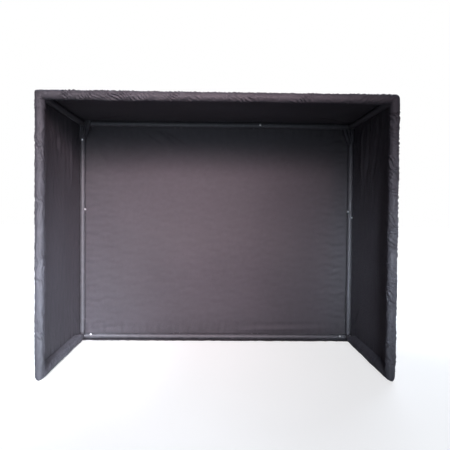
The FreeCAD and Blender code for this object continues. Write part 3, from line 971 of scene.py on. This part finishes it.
def stitch_row(name, start, end):
    """One stitch, repeated along a seam from start to end."""
    start, end = Vector(start), Vector(end)
    way = (end - start).normalized()
    count = int((end - start).length / STITCH_PITCH)
    bpy.ops.mesh.primitive_uv_sphere_add(segments=6, ring_count=4, radius=STITCH_R)
    row = bpy.context.object
    row.name = name
    row.data.name = name
    bpy.ops.object.mode_set(mode="EDIT")
    bpy.ops.transform.resize(value=(1, 1, STITCH_LENGTH / STITCH_R / 2))
    bpy.ops.object.mode_set(mode="OBJECT")
    turn = way.to_track_quat("Z", "Y").to_matrix().to_4x4()
    row.data.transform(turn)
    for vertex in row.data.vertices:
        vertex.co += start + way * STITCH_PITCH / 2
    run = row.modifiers.new("run", "ARRAY")
    run.use_relative_offset = False
    run.use_constant_offset = True
    run.constant_offset_displace = way * STITCH_PITCH
    run.count = count
    bpy.ops.object.modifier_apply(modifier=run.name)
    bpy.ops.object.shade_smooth()
    row.data.materials.append(thread)
    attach(row, "tent")
    return row


def on_pocket(outline, back_from_tip):
    """Where the inner layer of a sleeve is, that far back from its seam's tip."""
    length, u, v = outline
    at = length[-1] - back_from_tip
    return np.interp(at, length, u), np.interp(at, length, v)


IN_U, IN_V = on_pocket(post_outline, SEAM_INSET)
FOOT_U, FOOT_V = on_pocket(foot_outline, SEAM_INSET)
OUT_V = POST_SEAM - SEAM_INSET
foot_front = -POST_Y + POST_SEAM
foot_level = LOW_Z + FOOT_SEAM - SEAM_INSET
for side, sign in (("left", -1), ("right", 1)):
    face = sign * (POST_X + COVER_R)
    inner = sign * (POST_X - IN_U)
    stitch_row(
        f"stitches_post_outer_{side}", (face, OUT_V - POST_Y, post_foot),
        (face, OUT_V - POST_Y, post_head),
    )
    stitch_row(
        f"stitches_post_inner_{side}", (inner, IN_V - POST_Y, post_foot),
        (inner, IN_V - POST_Y, post_head),
    )
    foot_x = sign * (POST_X - FOOT_U)
    stitch_row(
        f"stitches_foot_outer_{side}", (face, foot_front, foot_level),
        (face, sleeve_back, foot_level),
    )
    stitch_row(
        f"stitches_foot_inner_{side}", (foot_x, foot_front, LOW_Z + FOOT_V),
        (foot_x, DRAWN_FROM, LOW_Z + FOOT_V),
    )
    stitch_row(
        f"stitches_edge_top_{side}", (sign * POST_X, foot_front, TOP_Z + COVER_R),
        (sign * POST_X, POST_Y, TOP_Z + COVER_R),
    )
    stitch_row(
        f"stitches_edge_back_{side}", (sign * POST_X, POST_Y + COVER_R, LOW_Z),
        (sign * POST_X, POST_Y + COVER_R, TOP_Z),
    )

FOLDED_BACK = 0.076
EDGE_Y = -POST_Y + FOLDED_BACK
for side, sign in (("left", -1), ("right", 1)):
    wall = bpy.data.objects[f"{side}_panel_cloth"]
    levels = np.linspace(post_foot + 0.012, post_head - 0.004, 160)
    inside = []
    for level in levels:
        met, place, _, _ = wall.ray_cast((0, EDGE_Y, level), (sign, 0, 0))
        inside.append(place.x if met else sign * POST_X)
    row = stitch_row(
        f"stitches_sleeve_edge_{side}", (0, EDGE_Y, levels[0]), (0, EDGE_Y, levels[-1])
    )
    co = points_of(row)
    co[:, 0] += np.interp(co[:, 2], levels, inside)
    set_points(row, co)
stitch_row(
    "stitches_rail_top", (rail_start, OUT_V - POST_Y, TOP_Z + COVER_R),
    (rail_end, OUT_V - POST_Y, TOP_Z + COVER_R),
)
stitch_row(
    "stitches_rail_under", (rail_start, IN_V - POST_Y, TOP_Z - IN_U),
    (rail_end, IN_V - POST_Y, TOP_Z - IN_U),
)
stitch_row(
    "stitches_edge_top_back", (-POST_X, POST_Y + COVER_R, TOP_Z),
    (POST_X, POST_Y + COVER_R, TOP_Z),
)


# ---------------------------------------------------------------------------------------
# Table, light and camera. A plain pale surface in a white room, and soft square lights: two
# on the back panel, five narrow ones from the front on the sleeves, walls and feet, and two
# broad ones from behind. The camera stands in front of the opening, a little above half way.

TABLE_TOP = -0.0006
bpy.ops.mesh.primitive_plane_add(size=30, location=(0, 0, TABLE_TOP))
table = bpy.context.object
table.name = "pale_table"
pale, pale_tree, pale_shader = new_material("pale_surface")
pale_where = add_node(pale_tree, "ShaderNodeTexCoord").outputs["Object"]
grain = ramp(pale_tree, noise_at(pale_tree, pale_where, 6.0, 3.0), 0.3, 0.7)
pale_tone = two_tone(pale_tree, grain, (0.37, 0.37, 0.37), (0.39, 0.39, 0.39))
pale_tree.links.new(pale_tone, pale_shader.inputs["Base Color"])
pale_far = add_node(pale_tree, "ShaderNodeVectorMath", operation="LENGTH")
pale_tree.links.new(pale_where, pale_far.inputs[0])
pale_glow = ramp(pale_tree, pale_far.outputs["Value"], 0.55, 1.8, 0.68, 1.0)
pale_seen = add_node(pale_tree, "ShaderNodeLightPath").outputs["Is Camera Ray"]
pale_glow = maths(pale_tree, "MULTIPLY", pale_glow, pale_seen)
pale_tree.links.new(pale_glow, pale_shader.inputs["Emission Strength"])
pale_shader.inputs["Emission Color"].default_value = (1.0, 1.0, 1.0, 1.0)
pale_shader.inputs["Roughness"].default_value = 0.7
table.data.materials.append(pale)

ROOM_LIGHT = (0.13, 0.135, 0.175)
world = bpy.data.worlds.new("white_room")
bpy.context.scene.world = world
world.use_nodes = True
room = world.node_tree.nodes["Background"]
seen = add_node(world.node_tree, "ShaderNodeLightPath").outputs["Is Camera Ray"]
room_tone = two_tone(world.node_tree, seen, ROOM_LIGHT, (1.0, 1.0, 1.0))
world.node_tree.links.new(room_tone, room.inputs["Color"])


def soft_light(name, aim, azimuth, elevation, distance, size, watts, tint, spread=180):
    """A square light, that far from what it is aimed at; azimuth 0 is in front, 90 right."""
    turn, rise = math.radians(azimuth), math.radians(elevation)
    away = Vector(
        (math.sin(turn) * math.cos(rise), -math.cos(turn) * math.cos(rise), math.sin(rise))
    )
    bpy.ops.object.light_add(type="AREA", location=Vector(aim) + away * distance)
    light = bpy.context.object
    light.name = name
    light.data.shape = "SQUARE"
    light.data.size = size
    light.data.energy = watts
    light.data.color = tint
    light.data.spread = math.radians(spread)
    light.rotation_euler = (-away).to_track_quat("-Z", "Y").to_euler()


WARM, ROSE, COOL = (1.0, 0.90, 0.96), (1.0, 0.64, 0.70), (0.86, 0.97, 1.10)
soft_light("key_on_back", (-0.34, 0.235, 0.36), 6, 18, 2.6, 0.7, 5.2, WARM, 38)
soft_light("key_pool", (-0.12, 0.235, 0.38), 14, 17, 2.6, 0.5, 1.9, ROSE, 27)
soft_light("front_low", (-0.1, -0.2, 0.14), 4, 5, 2.4, 0.5, 2.0, COOL, 38)
soft_light("front_right", (-0.48, -0.14, 0.18), 34, 6, 2.4, 0.3, 1.8, COOL, 23)
soft_light("front_left", (0.60, -0.2, 0.30), -10, 8, 2.4, 0.3, 1.15, COOL, 16)
soft_light("front_high", (0.0, -0.2, 0.75), 12, 48, 2.4, 0.7, 0.6, COOL, 50)
soft_light("foot_left", (-0.50, -0.10, 0.05), 3, 38, 2.4, 0.3, 1.3, COOL, 15)
soft_light("rear_left", (0.0, 0.0, 0.4), 215, 38, 2.4, 1.2, 38, COOL)
soft_light("rear_right", (0.0, 0.0, 0.4), 140, 30, 2.4, 1.2, 28, COOL)

CAMERA_PLACE = (-0.0074, -1.6041, 0.4481)
CAMERA_YAW = math.radians(1.14)
CAMERA_PITCH = math.radians(-1.37)
CAMERA_ROLL = math.radians(0.53)
CAMERA_LENS = 41.65
bpy.ops.object.camera_add(location=CAMERA_PLACE)
camera = bpy.context.object
camera.name = "front_camera"
camera.data.lens = CAMERA_LENS
camera.data.sensor_width = 36
camera.data.sensor_fit = "HORIZONTAL"
ahead = Vector((math.sin(CAMERA_YAW), math.cos(CAMERA_YAW), math.tan(CAMERA_PITCH))).normalized()
level = Vector((math.cos(CAMERA_YAW), -math.sin(CAMERA_YAW), 0))
upright = level.cross(ahead)
side_way = level * math.cos(CAMERA_ROLL) + upright * math.sin(CAMERA_ROLL)
top_way = upright * math.cos(CAMERA_ROLL) - level * math.sin(CAMERA_ROLL)
camera.rotation_euler = Matrix((side_way, top_way, -ahead)).transposed().to_euler()
bpy.context.scene.camera = camera
bpy.context.scene.view_settings.view_transform = "Standard"
